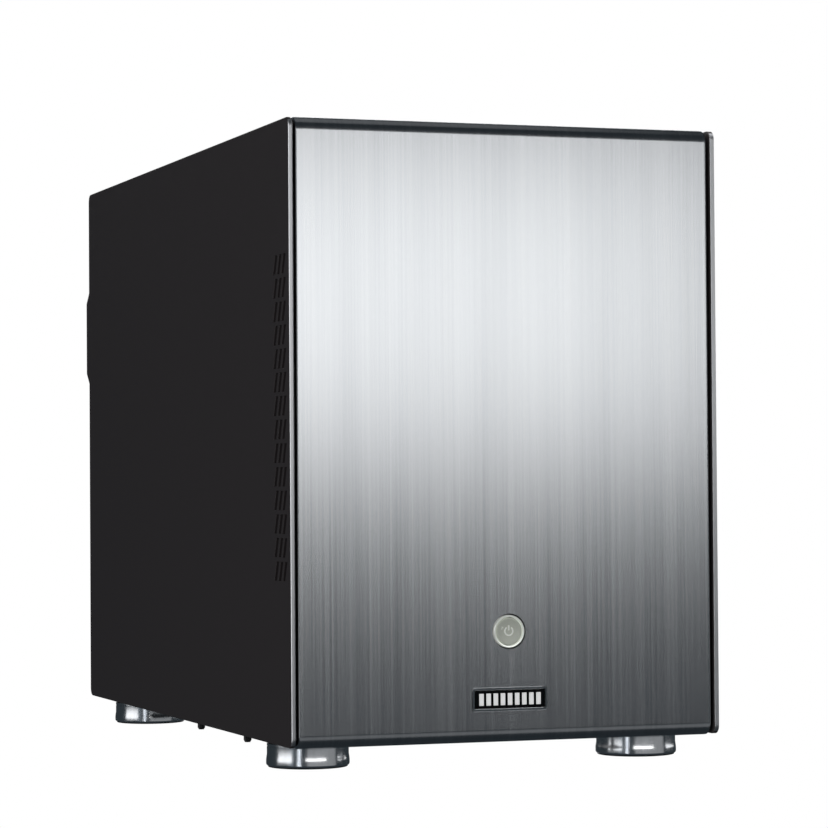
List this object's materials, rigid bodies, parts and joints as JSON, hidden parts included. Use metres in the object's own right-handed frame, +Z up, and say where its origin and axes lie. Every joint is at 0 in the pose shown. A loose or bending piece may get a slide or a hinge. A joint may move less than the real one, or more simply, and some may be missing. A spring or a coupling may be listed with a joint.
{
  "type": "desktop computer tower",
  "caption": "Compact desktop computer tower: brushed aluminium front cover, black side panels with slanted air slots, power button, round metal feet, full interior.",
  "frame": {"origin": "on the ground, under the middle of the overall box", "axes": "+X to the right seen from the front, +Y to the rear, +Z up; the front cover faces -Y"},
  "size_m": [0.198, 0.374, 0.28],
  "materials": {
    "brushed_cover": "vertical brushed, anodised",
    "black_sheet": "fine matt black anodised",
    "chassis_sheet": "matt black anodised",
    "polished_metal": "polished",
    "foot_metal": "turned and polished",
    "black_rubber": "matt",
    "black_plastic": "fine moulded texture",
    "black_gloss": "gloss",
    "pale_plastic": "translucent",
    "psu_steel": "black powder coat",
    "bright_wire": "bright nickel plate",
    "circuit_board": "green solder mask",
    "zinc_sheet": "zinc plated sheet",
    "cooler_aluminium": "mill finish",
    "drive_metal": "cast, with a steel lid",
    "cable_sleeve": "black sleeve"
  },
  "bodies": {
    "chassis": {"front_wall": "chassis_sheet", "bottom_panel": "chassis_sheet", "top_panel": "black_sheet", "rear_panel": "chassis_sheet", "board_tray": "chassis_sheet", "foot_front_left": "foot_metal", "foot_front_right": "foot_metal", "foot_rear_left": "foot_metal", "foot_rear_right": "foot_metal", "foot_pad_front_left": "black_rubber", "foot_pad_front_right": "black_rubber", "foot_pad_rear_left": "black_rubber", "foot_pad_rear_right": "black_rubber", "front_fan_frame": "black_plastic", "top_fan_frame": "black_plastic", "cooler_fan_frame": "black_plastic", "psu_fan_frame": "black_plastic", "psu_case": "psu_steel", "psu_fan_guard": "bright_wire", "mains_inlet": "black_plastic", "switch_bezel": "black_plastic", "psu_screw_1": "bright_wire", "psu_screw_2": "bright_wire", "psu_screw_3": "bright_wire", "psu_screw_4": "bright_wire", "motherboard": "circuit_board", "rear_ports": "zinc_sheet", "port_shield": "zinc_sheet", "cpu_cooler": "cooler_aluminium", "memory_module_1": "circuit_board", "memory_module_2": "circuit_board", "slot_cover": "chassis_sheet", "slot_screw": "bright_wire", "drive_cage": "chassis_sheet", "backplane": "circuit_board", "cage_screw_1": "black_rubber", "cage_screw_2": "black_rubber", "cage_screw_3": "black_rubber", "cage_screw_4": "black_rubber", "power_plug": "black_plastic", "power_cable": "cable_sleeve", "data_cable": "cable_sleeve"},
    "front_cover": {"front_cover": "brushed_cover", "badge_rim": "polished_metal", "badge_inlay": "black_gloss", "button_ring": "pale_plastic", "power_switch": "black_plastic"},
    "power_button": {"power_button": "polished_metal"},
    "left_side_panel": {"left_side_panel": "black_sheet"},
    "right_side_panel": {"right_side_panel": "black_sheet"},
    "front_fan_rotor": {"front_fan_rotor": "black_plastic"},
    "top_fan_rotor": {"top_fan_rotor": "black_plastic"},
    "cooler_fan_rotor": {"cooler_fan_rotor": "black_plastic"},
    "psu_fan_rotor": {"psu_fan_rotor": "black_plastic"},
    "rocker_switch": {"rocker_switch": "black_gloss"},
    "drive_1": {"drive_1": "drive_metal", "drive_handle_1": "black_plastic"},
    "drive_2": {"drive_2": "drive_metal", "drive_handle_2": "black_plastic"}
  },
  "joints": [
    {"name": "front_cover_off", "type": "slide", "parent": "chassis", "child": "front_cover", "axis": [0, -1, 0], "range_m": [0, 0.06]},
    {"name": "power_button_press", "type": "slide", "parent": "front_cover", "child": "power_button", "axis": [0, 1, 0], "range_m": [0, 0.0012], "stiffness_N_per_m": 1200, "springref_m": -0.0002},
    {"name": "left_panel_off", "type": "slide", "parent": "chassis", "child": "left_side_panel", "axis": [-1, 0, 0], "range_m": [0, 0.24]},
    {"name": "right_panel_off", "type": "slide", "parent": "chassis", "child": "right_side_panel", "axis": [1, 0, 0], "range_m": [0, 0.06]},
    {"name": "front_fan_spin", "type": "hinge", "parent": "chassis", "child": "front_fan_rotor", "pos_m": [0, -0.1456, 0.1455], "axis": [0, -1, 0], "continuous": true},
    {"name": "top_fan_spin", "type": "hinge", "parent": "chassis", "child": "top_fan_rotor", "pos_m": [0, 0.075, 0.2652], "axis": [0, 0, 1], "continuous": true},
    {"name": "cooler_fan_spin", "type": "hinge", "parent": "chassis", "child": "cooler_fan_rotor", "pos_m": [0.015, 0.0963, 0.2052], "axis": [0, 0, 1], "continuous": true},
    {"name": "psu_fan_spin", "type": "hinge", "parent": "chassis", "child": "psu_fan_rotor", "pos_m": [0, 0.1052, 0.03], "axis": [0, 0, -1], "continuous": true},
    {"name": "rocker_tilt", "type": "hinge", "parent": "chassis", "child": "rocker_switch", "pos_m": [0.041, 0.1782, 0.047], "axis": [1, 0, 0], "range_deg": [0, 16]},
    {"name": "drive_1_out", "type": "slide", "parent": "chassis", "child": "drive_1", "axis": [-1, 0, 0], "range_m": [0, 0.156]},
    {"name": "drive_2_out", "type": "slide", "parent": "chassis", "child": "drive_2", "axis": [-1, 0, 0], "range_m": [0, 0.156]}
  ],
  "couplings": [
    {"joint": "drive_1_out", "follows": "left_panel_off", "ratio": 0.65},
    {"joint": "drive_2_out", "follows": "left_panel_off", "ratio": 0.65}
  ]
}
